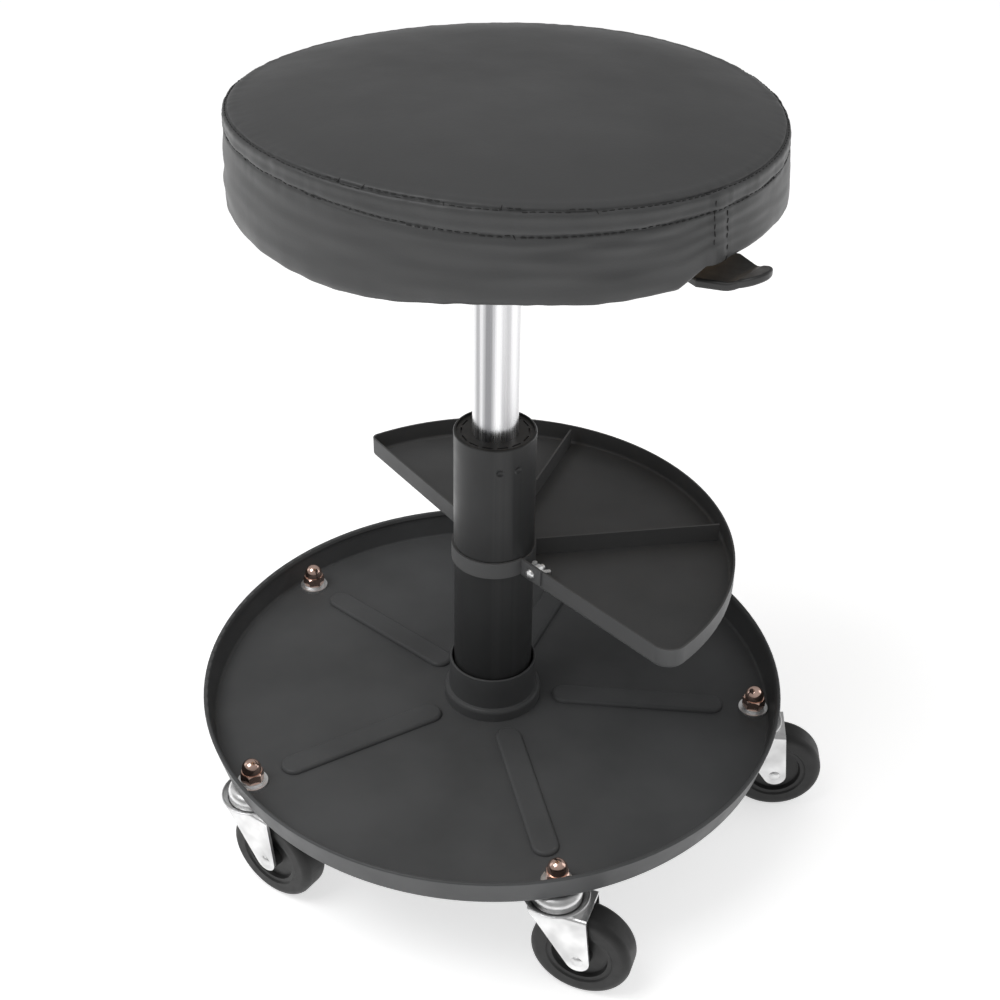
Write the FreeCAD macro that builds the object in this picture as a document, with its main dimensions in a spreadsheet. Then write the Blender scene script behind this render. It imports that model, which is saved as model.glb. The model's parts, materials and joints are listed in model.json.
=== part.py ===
"""Rolling workshop stool: padded seat on a gas lift, swinging tool tray, round base tray on casters.

Units are millimetres.  +Z is up, the floor is z = 0 and the lift column's axis is x = y = 0.
"""
import FreeCAD, Part
import math
import os
from types import SimpleNamespace

import Sketcher

SIZES = {
    # base tray: a pressed steel pan with a flared wall and raised ribs
    "rim_radius": 190.2, "rim_height": 97.9, "floor_height": 78.3, "pan_sheet": 1.5,
    "pan_bend": 1.8, "wall_flare": 13, "hem_width": 2.6, "hem_height": 3.2,
    "rib_start": 40, "rib_end": 154, "rib_width": 17, "rib_height": 2.8,
    "stem_circle": 174, "first_stem_angle": 138.95, "stem_spacing": 72, "stem_radius": 4,
    # socket ring that holds the column in the base tray
    "socket_radius": 28.2, "socket_top": 110, "socket_bottom": 66,
    "socket_flange": 31.8, "socket_flange_top": 84.6,
    # lift column
    "column_radius": 25.4, "column_wall": 1.6, "column_top": 284.4, "column_bottom": 52,
    "end_plate": 3, "bush_length": 84, "bush_recess": 1.4, "dimple_drop": 16,
    "dimple_depth": 1, "dimple_ball": 3.6, "dimple_first": -83, "dimple_second": -57,
    # gas spring
    "tube_radius": 14, "tube_bore": 12.5, "tube_bottom": 190, "tube_top": 430, "tube_cap": 4,
    "taper_start": 405, "taper_radius": 13.6, "rod_radius": 5, "rod_top": 239, "rod_bottom": 46,
    "piston_bottom": 226, "pin_radius": 3.5, "pin_top": 433.9, "running_gap": 0.05,
    "bearing_ball": 2, "bearing_circle": 10, "ball_gap": 0.3,
    # seat
    "seat_shift": 4.5, "board_radius": 145, "board_bottom": 452, "board_top": 464,
    "bolt_spacing": 110, "bolt_radius": 3, "plate_side": 150, "plate_sheet": 2.5,
    "foam_radius": 147.6, "foam_top": 494.2, "cover_radius": 151.4, "cover_top": 497.6,
    "cover_hem": 446.6, "cover_sheet": 1.6, "seam_height": 492, "seam_radius": 148.4,
    # height release lever
    "lever_angle": -40.5, "lever_height": 437, "lever_pivot": 38, "lever_pin": 2.5,
    "arm_width": 12, "arm_sheet": 3, "arm_end": 132, "paddle_start": 110, "paddle_end": 176,
    "paddle_wide": 20, "paddle_narrow": 11.5, "paddle_sheet": 5,
    # tool tray
    "tool_radius": 151, "tool_floor": 188.6, "tool_rim": 201.6, "tool_sheet": 1.2,
    "front_corner": 12, "back_corner": 5, "tool_angle": -51.4, "tool_bend": 3.6, "divider_gap": 3.5,
    "band_bottom": 191.6, "band_top": 202.8, "band_sheet": 1.4, "band_tab": 44,
    "clamp_offset": 35.5, "clamp_height": 196.6, "clamp_screw": 2.2,
    # casters
    "wheel_radius": 31.25, "wheel_width": 20, "wheel_shoulder": 5, "hub_radius": 20,
    "axle_radius": 3, "trail": 18.4, "fork_half": 14, "fork_sheet": 2, "crown_bottom": 64,
    "leg_end_radius": 7.5, "leg_front": 9, "leg_back": 22.4, "leg_waist": 58,
    "bowl_radius": 20.2, "bowl_top": 69.5, "cap_radius": 15.8, "cap_bottom": 68.2,
    "heading_1": 165, "heading_2": -34.9, "heading_3": -19.7, "heading_4": -3.75, "heading_5": 30,
}

CASTERS = (1, 2, 3, 4, 5)
BIG = 400


class Dim:
    """A size known both as a number and as the spreadsheet expression that drives it."""

    def __init__(self, number, text):
        self.number = float(number)
        self.text = text

    def _joined(self, sign, other):
        other = as_dim(other)
        numbers = {"+": self.number + other.number, "-": self.number - other.number,
                   "*": self.number * other.number}
        return Dim(numbers[sign], f"({self.text} {sign} {other.text})")

    def __add__(self, other):
        return self._joined("+", other)

    def __sub__(self, other):
        return self._joined("-", other)

    def __mul__(self, other):
        return self._joined("*", other)

    def __truediv__(self, other):
        other = as_dim(other)
        return Dim(self.number / other.number, f"({self.text} / {other.text})")

    def __neg__(self):
        return Dim(-self.number, f"(0 - {self.text})")

    def __radd__(self, other):
        return as_dim(other) + self

    def __rsub__(self, other):
        return as_dim(other) - self

    def __rmul__(self, other):
        return as_dim(other) * self


def as_dim(value):
    return value if isinstance(value, Dim) else Dim(value, f"({float(value):.6f})")


def cosine(angle):
    angle = as_dim(angle)
    return Dim(math.cos(math.radians(angle.number)), f"cos({angle.text} * 1 deg)")


def sine(angle):
    angle = as_dim(angle)
    return Dim(math.sin(math.radians(angle.number)), f"sin({angle.text} * 1 deg)")


def root(value):
    return Dim(math.sqrt(value.number), f"sqrt({value.text})")


def make_sheet(document):
    sheet = document.addObject("Spreadsheet::Sheet", "Spec")
    for row, (alias, number) in enumerate(SIZES.items(), start=1):
        sheet.set(f"A{row}", alias)
        sheet.set(f"B{row}", str(number))
        sheet.setAlias(f"B{row}", alias)
    document.recompute()
    return SimpleNamespace(**{alias: Dim(sheet.get(alias), f"Spec.{alias}") for alias in SIZES})


doc = FreeCAD.newDocument("stool")
s = make_sheet(doc)
pieces = []


# ---------------------------------------------------------------- building blocks

def place(item, x=0, y=0, z=0, turn=0):
    """Bind an object's position, and its turn about +Z, to the spreadsheet."""
    x, y, z, turn = (as_dim(value) for value in (x, y, z, turn))
    item.Placement = FreeCAD.Placement(
        FreeCAD.Vector(x.number, y.number, z.number),
        FreeCAD.Rotation(FreeCAD.Vector(0, 0, 1), turn.number))
    for axis, value in (("x", x), ("y", y), ("z", z)):
        item.setExpression(f"Placement.Base.{axis}", value.text)
    if abs(turn.number) > 1e-9:
        item.setExpression("Placement.Rotation.Angle", turn.text)
    return item


def origin_part(body, role):
    return next(item for item in body.Origin.OriginFeatures if item.Role == role)


def cap_radius(half_width, height):
    """Radius of a round cap whose centre lies on its axis."""
    return (half_width ** 2 + height ** 2) / (2 * height)


def arc_through(start, end, radius):
    """The shorter arc between two points; a positive radius bulges to the right of start-end."""
    chord = end - start
    middle = (start + end) * 0.5
    right = FreeCAD.Vector(chord.y, -chord.x, 0).normalize()
    rise = abs(radius) - math.sqrt(max(radius ** 2 - chord.Length ** 2 / 4, 0))
    if radius > 0:
        return Part.Arc(start, middle + right * rise, end)
    return Part.Arc(end, middle - right * rise, start)


def draw(sketch, outline):
    """Close an outline of (x, y) corners; a third value makes the edge after it an arc."""
    corners = [tuple(as_dim(value) for value in corner) for corner in outline]
    spots = [FreeCAD.Vector(corner[0].number, corner[1].number, 0) for corner in corners]
    ends = []
    for index, corner in enumerate(corners):
        start, end = spots[index], spots[(index + 1) % len(spots)]
        if len(corner) == 3:
            sketch.addGeometry(arc_through(start, end, corner[2].number))
        else:
            sketch.addGeometry(Part.LineSegment(start, end))
        forward = (sketch.Geometry[index].StartPoint - start).Length < 1e-6
        ends.append((1, 2) if forward else (2, 1))
    for index, corner in enumerate(corners):
        after = (index + 1) % len(corners)
        sketch.addConstraint(Sketcher.Constraint(
            "Coincident", index, ends[index][1], after, ends[after][0]))
        for kind, value, axis in (("DistanceX", corner[0], -2), ("DistanceY", corner[1], -1)):
            if abs(value.number) < 1e-9:
                sketch.addConstraint(Sketcher.Constraint(
                    "PointOnObject", index, ends[index][0], axis))
                continue
            number = sketch.addConstraint(Sketcher.Constraint(
                kind, -1, 1, index, ends[index][0], value.number))
            sketch.setExpression(f"Constraints[{number}]", value.text)
        if len(corner) == 3:
            size = abs(corner[2].number)
            number = sketch.addConstraint(Sketcher.Constraint("Radius", index, size))
            sketch.setExpression(f"Constraints[{number}]", f"abs({corner[2].text})")


def add_sketch(body, name, outline, plane, lift=0, turn=0):
    sketch = body.newObject("Sketcher::SketchObject", name)
    sketch.AttachmentSupport = [(origin_part(body, plane), "")]
    sketch.MapMode = "FlatFace"
    sketch.AttachmentOffset = FreeCAD.Placement(
        FreeCAD.Vector(0, 0, as_dim(lift).number),
        FreeCAD.Rotation(FreeCAD.Vector(0, 0, 1), as_dim(turn).number))
    sketch.setExpression("AttachmentOffset.Base.z", as_dim(lift).text)
    if abs(as_dim(turn).number) > 1e-9:
        sketch.setExpression("AttachmentOffset.Rotation.Angle", as_dim(turn).text)
    draw(sketch, outline)
    return sketch


def new_body(label):
    body = doc.addObject("PartDesign::Body", label)
    body.Label = label
    return body


def turned(label, outline, plane="XZ_Plane"):
    """Revolve (radius, height) corners about Z, or about Y when drawn on the XY plane."""
    body = new_body(label)
    spin = body.newObject("PartDesign::Revolution", label + "_turning")
    sketch = add_sketch(body, label + "_profile", outline, plane)
    spin.Profile = sketch
    spin.ReferenceAxis = (sketch, ["V_Axis"])
    spin.Angle = 360
    body.Tip = spin
    return body


def add_pad(body, name, outline, length, plane="XY_Plane", lift=0, turn=0, kind="Pad"):
    """Pad along the plane's normal (+Z, or -Y for the XZ plane), or pocket the same space."""
    sketch = add_sketch(body, name + "_outline", outline, plane, lift, turn)
    feature = body.newObject("PartDesign::" + kind, name)
    feature.Profile = sketch
    feature.setExpression("Length", as_dim(length).text)
    if kind == "Pocket":
        feature.Reversed = True
    body.Tip = feature
    return feature


def padded(label, outline, length, plane="XY_Plane", lift=0):
    body = new_body(label)
    add_pad(body, label + "_pad", outline, length, plane, lift)
    return body


def round_edges(body, name, radius, wanted):
    """Fillet the edges of a body's tip that the wanted test picks."""
    doc.recompute()
    base = body.Tip
    picked = [f"Edge{number}" for number, edge in enumerate(base.Shape.Edges, start=1)
              if wanted(edge)]
    fillet = body.newObject("PartDesign::Fillet", name)
    fillet.Base = (base, picked)
    fillet.setExpression("Radius", as_dim(radius).text)
    body.Tip = fillet
    return fillet


def level_at(height):
    """Test for an edge that lies flat at this height."""
    return lambda edge: (abs(edge.BoundBox.ZMin - height.number) < 1e-3
                         and abs(edge.BoundBox.ZMax - height.number) < 1e-3)


def cylinder(name, radius, length, x=0, y=0, z=0):
    item = doc.addObject("Part::Cylinder", name)
    item.setExpression("Radius", as_dim(radius).text)
    item.setExpression("Height", as_dim(length).text)
    return place(item, x, y, z)


def cross_cylinder(name, radius, length, x, y, z):
    """A cylinder along +Y that starts at (x, y, z)."""
    item = cylinder(name, radius, length)
    item.Placement = FreeCAD.Placement(
        FreeCAD.Vector(0, 0, 0), FreeCAD.Rotation(FreeCAD.Vector(1, 0, 0), -90))
    for axis, value in (("x", x), ("y", y), ("z", z)):
        item.setExpression(f"Placement.Base.{axis}", as_dim(value).text)
    return item


def box(name, low, size, turn=0):
    item = doc.addObject("Part::Box", name)
    for side, value in zip(("Length", "Width", "Height"), size):
        item.setExpression(side, as_dim(value).text)
    if turn == 0:
        return place(item, *low)
    return place(item, *low, turn=turn)


def ball(name, radius, x, y, z):
    item = doc.addObject("Part::Sphere", name)
    item.setExpression("Radius", as_dim(radius).text)
    return place(item, x, y, z)


def joined(label, parts):
    item = doc.addObject("Part::MultiFuse", label)
    item.Label = label
    item.Shapes = parts
    return item


def cut(label, base, tools):
    item = doc.addObject("Part::Cut", label)
    item.Label = label
    item.Base = base
    item.Tool = tools[0] if len(tools) == 1 else joined(label + "_tools", tools)
    return item


def group(label, parts):
    item = doc.addObject("Part::Compound", label)
    item.Label = label
    item.Links = parts
    return item


def keep(item):
    pieces.append(item)
    return item


def on_circle(radius, angle):
    return radius * cosine(angle), radius * sine(angle)


def ring(label, inner, outer, bottom, top):
    return turned(label, [(inner, bottom), (outer, bottom), (outer, top), (inner, top)])


# ---------------------------------------------------------------- base tray and column

def make_base_tray():
    body = new_body("base_tray")
    outer_bend = s.pan_bend + s.pan_sheet
    under = s.floor_height - s.pan_sheet
    centre_z = under + outer_bend
    slope = sine(s.wall_flare) / cosine(s.wall_flare)
    rise = s.rim_height - centre_z + outer_bend * sine(s.wall_flare)
    centre_r = s.rim_radius - outer_bend * cosine(s.wall_flare) - rise * slope
    hub = s.socket_radius + 0.1
    hem_r = s.rim_radius - s.hem_height * slope
    spin = body.newObject("PartDesign::Revolution", "pan_turning")
    sketch = add_sketch(body, "pan_profile", [
        (hub, under),
        (centre_r, under, outer_bend),
        (centre_r + outer_bend * cosine(s.wall_flare),
         centre_z - outer_bend * sine(s.wall_flare)),
        (s.rim_radius, s.rim_height - s.hem_width / 2, s.hem_width / 1.9),
        (s.rim_radius - s.hem_width, s.rim_height - s.hem_width / 2),
        (hem_r - s.hem_width, s.rim_height - s.hem_height),
        (hem_r - s.pan_sheet - 0.2, s.rim_height - s.hem_height - 0.8),
        (centre_r + s.pan_bend * cosine(s.wall_flare),
         centre_z - s.pan_bend * sine(s.wall_flare), -s.pan_bend),
        (centre_r, s.floor_height),
        (hub, s.floor_height)], "XZ_Plane")
    spin.Profile = sketch
    spin.ReferenceAxis = (sketch, ["V_Axis"])
    spin.Angle = 360
    body.Tip = spin
    half = s.rib_width / 2
    reach = s.stem_radius + 0.2
    for number in CASTERS:
        turn = s.stem_spacing * (number - 0.5)
        add_pad(body, f"rib_{number}", slot_outline(s.rib_start, s.rib_end, half),
                s.rib_height + 0.5, lift=s.floor_height - 0.5, turn=turn)
        add_pad(body, f"rib_hollow_{number}",
                slot_outline(s.rib_start + s.pan_sheet, s.rib_end - s.pan_sheet,
                             half - s.pan_sheet),
                s.rib_height + 1, lift=under - 1, turn=turn, kind="Pocket")
        add_pad(body, f"stem_hole_{number}", circle_outline(s.stem_circle, reach),
                s.pan_sheet + 2, lift=under - 1, turn=turn, kind="Pocket")
    round_edges(body, "rib_crowns", s.rib_height - 0.5, level_at(s.floor_height + s.rib_height))
    place(body, turn=s.first_stem_angle - s.stem_spacing / 2)
    return keep(body)


def circle_outline(centre, radius):
    """A circle about a point on the X axis, as four quarter arcs."""
    return [(centre, -radius, radius), (centre + radius, 0, radius),
            (centre, radius, radius), (centre - radius, 0, radius)]


def slot_outline(start, end, half):
    """A straight slot along +X with round ends."""
    return [(start + half, -half), (end - half, -half, half), (end, 0, half),
            (end - half, half), (start + half, half, half), (start, 0, half)]


def make_socket():
    inner = s.column_radius + 0.15
    return keep(turned("column_socket", [
        (inner, s.socket_bottom), (s.socket_radius, s.socket_bottom),
        (s.socket_radius, s.floor_height), (s.socket_flange, s.floor_height),
        (s.socket_flange, s.socket_flange_top, 3),
        (s.socket_flange - 2.4, s.socket_flange_top + 2.4),
        (s.socket_radius + 0.8, s.socket_flange_top + 2.8),
        (s.socket_radius, s.socket_top - 0.6, 0.9),
        (s.socket_radius - 1.4, s.socket_top - 0.2),
        (s.socket_radius - 1.6, s.socket_top - 9),
        (inner, s.socket_top - 11)]))


def make_column():
    bore = s.column_radius - s.column_wall
    rod_hole = s.rod_radius + s.running_gap
    lip = 1.2
    tube = turned("column_blank", [
        (rod_hole, s.column_bottom), (s.column_radius - 1, s.column_bottom, 1),
        (s.column_radius, s.column_bottom + 1), (s.column_radius, s.column_top - lip, lip),
        (s.column_radius - lip, s.column_top), (bore, s.column_top),
        (bore, s.column_bottom + s.end_plate), (rod_hole, s.column_bottom + s.end_plate)])
    reach = s.column_radius + s.dimple_ball - s.dimple_depth
    dimples = []
    for name, angle in (("first_dimple", s.dimple_first), ("second_dimple", s.dimple_second)):
        x, y = on_circle(reach, angle)
        dimples.append(ball(name, s.dimple_ball, x, y, s.column_top - s.dimple_drop))
    keep(cut("column_tube", tube, dimples))
    top = s.column_top - s.bush_recess
    bush = ring("column_bush", s.tube_radius + s.running_gap, bore - 0.05,
                top - s.bush_length, top)
    for number in range(14):
        add_pad(bush, f"slit_{number}", [(20, -3.3), (20.9, -3.3), (20.9, 3.3), (20, 3.3)],
                1.2, lift=top - 1, turn=number * 360 / 14, kind="Pocket")
    keep(bush)


def make_bearing():
    """Thrust bearing, damper and clip at the foot of the piston rod."""
    race = s.column_bottom + s.end_plate
    washer = 1.9
    keep(ring("thrust_washer_lower", s.rod_radius + 0.4, s.bearing_circle + 4,
              race + 0.05, race + washer))
    ball_z = race + washer + s.ball_gap + s.bearing_ball
    balls = []
    for number in range(10):
        x, y = on_circle(s.bearing_circle, 36 * number)
        balls.append(ball(f"thrust_ball_{number}", s.bearing_ball, x, y, ball_z))
    keep(group("thrust_balls", balls))
    upper = ball_z + s.bearing_ball + 0.05
    keep(ring("thrust_washer_upper", s.rod_radius, s.bearing_circle + 4, upper, upper + washer))
    keep(ring("bump_stop", s.rod_radius, s.bearing_circle + 3, upper + washer,
              upper + washer + 6.5))
    keep(ring("rod_clip", s.rod_radius - 0.8, s.rod_radius + 4, s.column_bottom - 1.7,
              s.column_bottom - 0.4))


# ---------------------------------------------------------------- gas spring

def make_gas_spring():
    groove = s.rod_radius - 0.8
    clip_low, clip_high = s.column_bottom - 1.75, s.column_bottom - 0.35
    keep(turned("piston_rod", [
        (0, s.rod_bottom), (s.rod_radius - 1, s.rod_bottom),
        (s.rod_radius, s.rod_bottom + 1), (s.rod_radius, clip_low), (groove, clip_low),
        (groove, clip_high), (s.rod_radius, clip_high), (s.rod_radius, s.rod_top),
        (0, s.rod_top)]))
    keep(ring("piston", s.rod_radius, s.tube_bore - s.running_gap, s.piston_bottom,
              s.rod_top - 1))
    keep(ring("rod_gland", s.rod_radius + s.running_gap, s.tube_bore, s.tube_bottom + 1,
              s.tube_bottom + 17))
    pin_hole = s.pin_radius + s.running_gap
    inner_top = s.tube_top - s.tube_cap
    keep(turned("pressure_tube", [
        (s.tube_bore, s.tube_bottom), (s.tube_radius - 0.6, s.tube_bottom),
        (s.tube_radius, s.tube_bottom + 0.6), (s.tube_radius, s.taper_start),
        (s.taper_radius, s.tube_top - 1), (s.taper_radius - 1, s.tube_top),
        (pin_hole, s.tube_top), (pin_hole, inner_top), (s.tube_bore, inner_top)]))
    keep(turned("valve_pin", [
        (0, inner_top - 5), (s.pin_radius, inner_top - 5), (s.pin_radius, s.pin_top - 0.6),
        (s.pin_radius - 0.6, s.pin_top), (0, s.pin_top)]))


# ---------------------------------------------------------------- seat

def lever_frame(item):
    """Turn a piece from the lever's own axes to where the lever points."""
    return place(item, turn=s.lever_angle)


def make_seat_bracket():
    plate_bottom = s.board_bottom - s.plate_sheet
    half = s.plate_side / 2
    corner = 14
    plate = padded("plate_blank", [
        (half - corner, -half, corner), (half, -half + corner),
        (half, half - corner, corner), (half - corner, half),
        (-half + corner, half, corner), (-half, half - corner),
        (-half, -half + corner, corner), (-half + corner, -half)],
        s.plate_sheet, lift=plate_bottom)
    holes = [cylinder(f"plate_hole_{number}", s.bolt_radius + 0.3, 10, x, y, plate_bottom - 4)
             for number, (x, y) in enumerate(bolt_spots())]
    keep(lever_frame(cut("seat_plate", plate, holes)))
    web_bottom = s.tube_top - 2
    length, width = 70, 30
    block = box("housing_block", (-24, -width / 2, web_bottom),
                (length, width, plate_bottom - web_bottom))
    room = box("housing_room", (-24 - 1, -width / 2 + 2, web_bottom + 2),
               (length + 2, width - 4, BIG))
    bore = cylinder("housing_bore", s.tube_radius + 0.1, 10, z=web_bottom - 4)
    pivot = cross_cylinder("housing_pivot", s.lever_pin, 60, s.lever_pivot, -30, s.lever_height)
    keep(lever_frame(cut("lever_housing", block, [room, bore, pivot])))
    keep(ring("cone_socket", s.tube_radius + 0.05, s.tube_radius + 3.4,
              s.taper_start + 3, web_bottom))
    pin_half = width / 2
    pin = turned("lever_pin_blank", [
        (0, -pin_half - 1.5), (s.lever_pin + 1.5, -pin_half - 1.5),
        (s.lever_pin + 1.5, -pin_half), (s.lever_pin, -pin_half),
        (s.lever_pin, pin_half + 2), (0, pin_half + 2)], plane="XY_Plane")
    place(pin, s.lever_pivot, 0, s.lever_height)
    keep(lever_frame(group("lever_pin", [pin])))


def bolt_spots():
    half = s.bolt_spacing / 2
    return [(half, half), (-half, half), (-half, -half), (half, -half)]


def make_seat_bolts():
    head_bottom = s.board_bottom - s.plate_sheet - 4
    bolts = []
    nuts = []
    for number, (x, y) in enumerate(bolt_spots()):
        head = doc.addObject("Part::Prism", f"bolt_head_{number}")
        head.Polygon = 6
        head.setExpression("Circumradius", (s.bolt_radius * 1.9).text)
        head.Height = 4
        place(head, x, y, head_bottom)
        shank = cylinder(f"bolt_shank_{number}", s.bolt_radius, 15, x, y, head_bottom + 2)
        bolts.append(joined(f"seat_bolt_{number}", [head, shank]))
        nut = turned(f"t_nut_{number}", [
            (s.bolt_radius + 0.05, s.board_top - 9), (s.bolt_radius + 0.9, s.board_top - 9),
            (s.bolt_radius + 0.9, s.board_top - 1.2), (9, s.board_top - 1.2),
            (9, s.board_top - 0.1), (s.bolt_radius + 0.05, s.board_top - 0.1)])
        nuts.append(place(nut, x, y))
    keep(lever_frame(group("seat_bolts", bolts)))
    keep(lever_frame(group("t_nuts", nuts)))


def make_seat_board():
    blank = turned("board_blank", [
        (0, s.board_bottom), (s.board_radius - 1.5, s.board_bottom, 1.5),
        (s.board_radius, s.board_bottom + 1.5), (s.board_radius, s.board_top - 1.5, 1.5),
        (s.board_radius - 1.5, s.board_top), (0, s.board_top)])
    place(blank, x=s.seat_shift)
    holes = []
    for number, (x, y) in enumerate(bolt_spots()):
        angle = s.lever_angle
        across = x * cosine(angle) - y * sine(angle)
        along = x * sine(angle) + y * cosine(angle)
        holes.append(cylinder(f"board_hole_{number}", s.bolt_radius + 1, 30, across, along,
                              s.board_bottom - 5))
        holes.append(cylinder(f"board_sink_{number}", 9.2, 10, across, along,
                              s.board_top - 1.3))
    keep(cut("seat_board", blank, holes))


def make_cushion():
    """Foam pad and the vinyl cover that is pulled over it and turned in under the board."""
    foam_bottom = s.board_top + 0.3
    foam = turned("seat_foam", [
        (0, foam_bottom), (s.foam_radius - 1, foam_bottom),
        (s.foam_radius, foam_bottom + 6), (s.foam_radius, s.seam_height - 12, 7),
        (s.foam_radius - 5, s.seam_height - 4.5), (0, s.foam_top)])
    keep(place(foam, x=s.seat_shift))
    inner = s.cover_radius - s.cover_sheet
    turn_in = s.board_radius - 16
    cover = turned("seat_cover", [
        (0, s.cover_top), (0, s.cover_top - s.cover_sheet),
        (s.seam_radius - 1.6, s.seam_height - 1.6), (inner, s.seam_height - 8),
        (inner, s.cover_hem + 4), (inner - 2.5, s.cover_hem + 3.2),
        (turn_in, s.board_bottom - 0.3), (turn_in, s.board_bottom - 0.3 - s.cover_sheet),
        (inner - 3.5, s.cover_hem, 4), (s.cover_radius - 0.4, s.cover_hem + 4),
        (s.cover_radius, s.seam_height - 12, 30), (s.seam_radius, s.seam_height)])
    keep(place(cover, x=s.seat_shift))


# ---------------------------------------------------------------- height lever

def make_lever():
    arm_top = s.lever_height + 0.4
    blade = box("arm_blade", (-5, -s.arm_width / 2, arm_top - s.arm_sheet),
                (s.arm_end + 5, s.arm_width, s.arm_sheet))
    boss = cross_cylinder("arm_boss", s.lever_pin + 2.4, s.arm_width, s.lever_pivot,
                          -s.arm_width / 2, s.lever_height)
    bore = cross_cylinder("arm_bore", s.lever_pin + s.running_gap, 60, s.lever_pivot,
                          -30, s.lever_height)
    arm = joined("arm_with_boss", [blade, boss])
    keep(lever_frame(cut("lever_arm", arm, [bore])))
    tip = s.paddle_end - s.paddle_narrow
    half = s.paddle_sheet / 2
    blank = padded("paddle_blank", [
        (s.paddle_start, -9), (s.paddle_end - 31, -s.paddle_wide),
        (tip, -s.paddle_narrow, s.paddle_narrow * 1.05), (s.paddle_end, 0, s.paddle_narrow * 1.05),
        (tip, s.paddle_narrow), (s.paddle_end - 31, s.paddle_wide), (s.paddle_start, 9)],
        s.paddle_sheet, lift=arm_top - s.arm_sheet / 2 - half)
    round_edges(blank, "paddle_edge", 1.6, lambda edge: edge.BoundBox.ZLength < 1e-3)
    slot = box("paddle_slot", (s.paddle_start - 5, -s.arm_width / 2, arm_top - s.arm_sheet),
               (s.arm_end - s.paddle_start + 5, s.arm_width, s.arm_sheet))
    keep(lever_frame(cut("lever_paddle", blank, [slot])))


# ---------------------------------------------------------------- tool tray

def bent(side, x, y):
    """A place beside one half of the tray's front, which is swung back from the X axis."""
    angle = s.tool_bend * side
    return (x * cosine(angle) - y * sine(angle), x * sine(angle) + y * cosine(angle))


def corner_ends(side, radius, corner, flat):
    """Where a corner's round meets the straight half and where it meets the curved rim."""
    centre_y = corner + flat
    centre_x = root((radius - corner) * (radius - corner) - centre_y * centre_y)
    reach = radius / (radius - corner)
    return (bent(side, side * centre_x, flat),
            bent(side, side * centre_x * reach, centre_y * reach))


def half_moon(radius, front_corner, back_corner, flat):
    """A half disc whose straight side is a shallow V, lying flat beyond the axis."""
    front_flat, front_rim = corner_ends(1, radius, front_corner, flat)
    back_flat, back_rim = corner_ends(-1, radius, back_corner, flat)
    return [(*front_flat, front_corner), (*front_rim, radius), (*back_rim, back_corner),
            back_flat, (as_dim(0), flat / cosine(s.tool_bend))]


def tool_frame(item):
    """Turn a piece from the tool tray's own axes (straight side along X) to its place."""
    return place(item, turn=s.tool_angle)


def make_tool_tray():
    bottom = s.tool_floor - s.tool_sheet
    hub = s.column_radius + s.running_gap
    outer = padded("tool_outer", half_moon(s.tool_radius, s.front_corner, s.back_corner, as_dim(0)),
                   s.tool_rim - bottom, lift=bottom)
    round_edges(outer, "tool_outer_bend", 3, level_at(bottom))
    inside = s.tool_radius - s.tool_sheet
    inner = padded("tool_inner", half_moon(inside, s.front_corner - s.tool_sheet,
                                          s.back_corner - s.tool_sheet, s.tool_sheet),
                   BIG, lift=s.tool_floor)
    round_edges(inner, "tool_inner_bend", 2, level_at(s.tool_floor))
    hub_wall = cylinder("tool_hub_wall", hub + s.tool_sheet, BIG, z=bottom - 5)
    room = cut("tool_room", inner, [hub_wall])
    hub_hole = cylinder("tool_hub_hole", hub, BIG, z=bottom - 5)
    holes = clamp_holes("tool_clamp_hole")
    keep(tool_frame(cut("tool_tray", outer, [room, hub_hole] + holes)))
    start = hub + s.tool_sheet + 0.1
    length = inside - start - s.divider_gap
    for number in (1, 2):
        angle = s.tool_angle + 60 * number
        x, y = on_circle(start, angle)
        wall = box(f"tray_divider_{number}", (x, y, s.tool_floor),
                   (length, s.tool_sheet, s.tool_rim - s.tool_floor - 0.8), angle)
        keep(wall)


def clamp_place(item, side):
    x, y = bent(side, side * s.clamp_offset, as_dim(0))
    return place(item, x, y, s.clamp_height, turn=s.tool_bend * side)


def clamp_holes(name):
    holes = []
    for number, side in enumerate((-1, 1)):
        shaft = turned(f"{name}_{number}", [
            (0, -10), (s.clamp_screw + 0.2, -10), (s.clamp_screw + 0.2, 10), (0, 10)],
            plane="XY_Plane")
        holes.append(clamp_place(shaft, side))
    return holes


def make_band():
    """Strap that clamps the tool tray to the column, with a tab at each end."""
    hub = s.column_radius + s.running_gap
    tall = s.band_top - s.band_bottom
    front = -s.band_sheet - 0.05
    strap = cylinder("strap", hub + s.band_sheet, tall, z=s.band_bottom)
    tabs = []
    for side, end in ((1, as_dim(0)), (-1, -s.band_tab)):
        x, y = bent(side, end, front)
        tabs.append(box(f"strap_tab_{side + 2}", (x, y, s.band_bottom),
                        (s.band_tab, s.band_sheet, tall), s.tool_bend * side))
    bore = cylinder("strap_bore", hub, BIG, z=s.band_bottom - 5)
    far_side = padded("strap_far_side", [
        (0, -0.05), bent(1, as_dim(BIG), as_dim(-0.05)), (BIG, BIG), (-BIG, BIG),
        bent(-1, as_dim(-BIG), as_dim(-0.05))], BIG, lift=s.band_bottom - 5)
    holes = clamp_holes("strap_hole")
    band = joined("strap_with_tabs", [strap] + tabs)
    keep(tool_frame(cut("tray_band", band, [bore, far_side] + holes)))


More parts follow.
